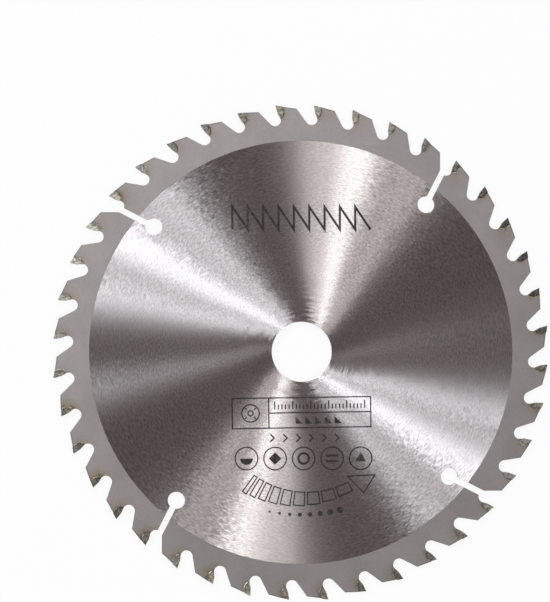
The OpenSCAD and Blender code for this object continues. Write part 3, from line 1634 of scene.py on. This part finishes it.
@dataclass(frozen=True)
class SoftboxBank:
    """Three softboxes side by side: a strong one, and a weaker one to each side of it."""

    name: str
    azimuth: float
    levels: tuple[float, float, float]
    turns: tuple[float, float, float]
    tint: LampTint

    def softboxes(self) -> list[Softbox]:
        """Gives the bank's softboxes.

        Returns:
            The softboxes, from the lowest azimuth to the highest.
        """
        boxes = []
        for place, (turn, level) in enumerate(zip(self.turns, self.levels), start=1):
            boxes.append(Softbox(f"{self.name}_{place}", self.azimuth + turn, level, self.tint))
        return boxes


@dataclass
class Studio:
    """White floor that sweeps up behind, banks of softboxes on four sides and a dim even room."""

    floor_z: float
    floor_r: float = 3.4
    cove_r: float = 0.6
    wall_height: float = 0.9
    room: Colour = (0.115, 0.092, 0.0935)
    cove_steps: int = 12
    round_steps: int = 72
    banks: tuple[SoftboxBank, ...] = (
        SoftboxBank("top_softbox", 73.7, (0.035, 0.117, 0.041), (-16.6, 0.0, 12.2), LampTint.WARM),
        SoftboxBank("left_softbox", 146.9, (0.070, 0.143, 0.092), (-16.6, 0.0, 16.0), LampTint.COOL),
        SoftboxBank("bottom_softbox", 256.3, (0.024, 0.085, 0.036), (-16.6, 0.0, 12.2), LampTint.WARM),
        SoftboxBank("right_softbox", 329.7, (0.035, 0.082, 0.037), (-16.6, 0.0, 16.0), LampTint.COOL),
    )
    streak: Softbox = Softbox(
        "streak_softbox", 190.3, 0.0235, LampTint.COOL, distance=0.4, width=0.036, length=0.18
    )

    def profile(self) -> list[Point]:
        """Gives the floor's section from the middle out, with its cove and low wall.

        Returns:
            Points of radius and height.
        """
        points = []
        for step in range(self.cove_steps + 1):
            angle = math.pi / 2 * step / self.cove_steps
            points.append((
                self.floor_r + self.cove_r * math.sin(angle),
                self.floor_z + self.cove_r * (1.0 - math.cos(angle)),
            ))
        points.append((self.floor_r + self.cove_r, self.floor_z + self.wall_height))
        return points

    def build_floor(self, finish: bpy.types.Material) -> bpy.types.Object:
        """Builds the floor and its cove.

        Args:
            finish: The white sweep.

        Returns:
            The floor.
        """
        shape = bmesh.new()
        rings = []
        for radius, height in self.profile():
            circle = round_points((0.0, 0.0), radius, steps=self.round_steps)
            rings.append([shape.verts.new((x, y, height)) for x, y in circle])
        shape.faces.new(rings[0])
        for near, far in zip(rings, rings[1:]):
            for here in range(self.round_steps):
                after = (here + 1) % self.round_steps
                shape.faces.new((near[here], far[here], far[after], near[after]))
        floor = add_piece("floor", shape, finish)
        return floor

    def light(self) -> list[bpy.types.Object]:
        """Sets up the lamps and the room's dim even light.

        Returns:
            The lamps.
        """
        world = bpy.data.worlds.new("room")
        world.use_nodes = True
        world.node_tree.nodes["Background"].inputs["Color"].default_value = (*self.room, 1.0)
        bpy.context.scene.world = world
        boxes = [self.streak]
        for bank in self.banks:
            boxes.extend(bank.softboxes())
        return [box.place() for box in boxes]


@dataclass
class PhotoCamera:
    """Camera that looks almost straight down on the blade, framed as the photograph is."""

    image: tuple[int, int] = (550, 602)
    centre_px: Point = (301.72, 351.79)
    focal_px: float = 1476.0
    distance: float = 0.491
    sideways: float = math.radians(-1.98)
    upways: float = math.radians(-1.23)
    roll: float = math.radians(-0.109)
    sensor: float = 36.0
    nearest: float = 0.01

    def place(self) -> bpy.types.Object:
        """Sets the camera up and makes it the scene's own.

        Returns:
            The camera.
        """
        width, height = self.image
        lens = bpy.data.cameras.new("photo_camera")
        lens.sensor_fit = "HORIZONTAL"
        lens.sensor_width = self.sensor
        lens.lens = self.focal_px / width * self.sensor
        lens.shift_x = (width / 2 - self.centre_px[0]) / width
        lens.shift_y = (self.centre_px[1] - height / 2) / width
        lens.clip_start = self.nearest
        camera = bpy.data.objects.new("photo_camera", lens)
        side, up = math.sin(self.sideways), math.sin(self.upways)
        away = Vector((side, up, math.sqrt(1.0 - side * side - up * up)))
        right = Vector((0.0, 1.0, 0.0)).cross(away).normalized()
        facing = Matrix((right, away.cross(right), away)).transposed().to_4x4()
        camera.matrix_world = (
            Matrix.Translation(away * self.distance) @ facing @ Matrix.Rotation(self.roll, 4, "Z")
        )
        bpy.context.scene.collection.objects.link(camera)
        bpy.context.scene.camera = camera
        return camera


def main() -> None:
    """Sets up the camera and the studio, then dresses the blade piece by piece."""
    logging.basicConfig(level=logging.INFO, format="%(name)s: %(message)s")
    bpy.context.scene.view_settings.view_transform = "Standard"
    camera = PhotoCamera().place()
    log.info("camera at %s", tuple(round(part, 4) for part in camera.location))
    studio = Studio(floor_z=cad_box[0][2])
    floor = studio.build_floor(WhiteSweep().material())
    log.info("%s and %d softboxes", floor.name, len(studio.light()))

    pattern = ToothPattern()
    stain = HeatStain(pattern)
    plate = BladePlate()
    steel = plate.dress({
        PlateZone.GROUND_FACE: GroundSteel().material(),
        PlateZone.BLASTED_RIM: BlastedSteel(stain).material(),
        PlateZone.TOOTH_LAND: LandSteel().material(),
        PlateZone.CUT_WALL: CutSteel().material(),
    })
    log.info("%s with %d finishes", steel.name, len(steel.data.materials))
    tips = CarbideTips().dress({
        TipZone.FLANK: CarbideFlank(stain).material(),
        TipZone.EDGE_FACE: CarbideEdge().material(),
    })
    log.info("%d carbide tips", len(tips))
    braze = SilverBraze(pattern).material()
    runs = BrazeRuns(pattern)
    log.info("%s", runs.dress(braze).name)
    fillets = runs.build(braze)
    log.info("%s with %d faces", fillets.name, len(fillets.data.polygons))
    marks = FaceMarks(plate.ground_half).build(MarkingInk().material())
    log.info("%s with %d faces", marks.name, len(marks.data.polygons))


if __name__ == "__main__":
    main()
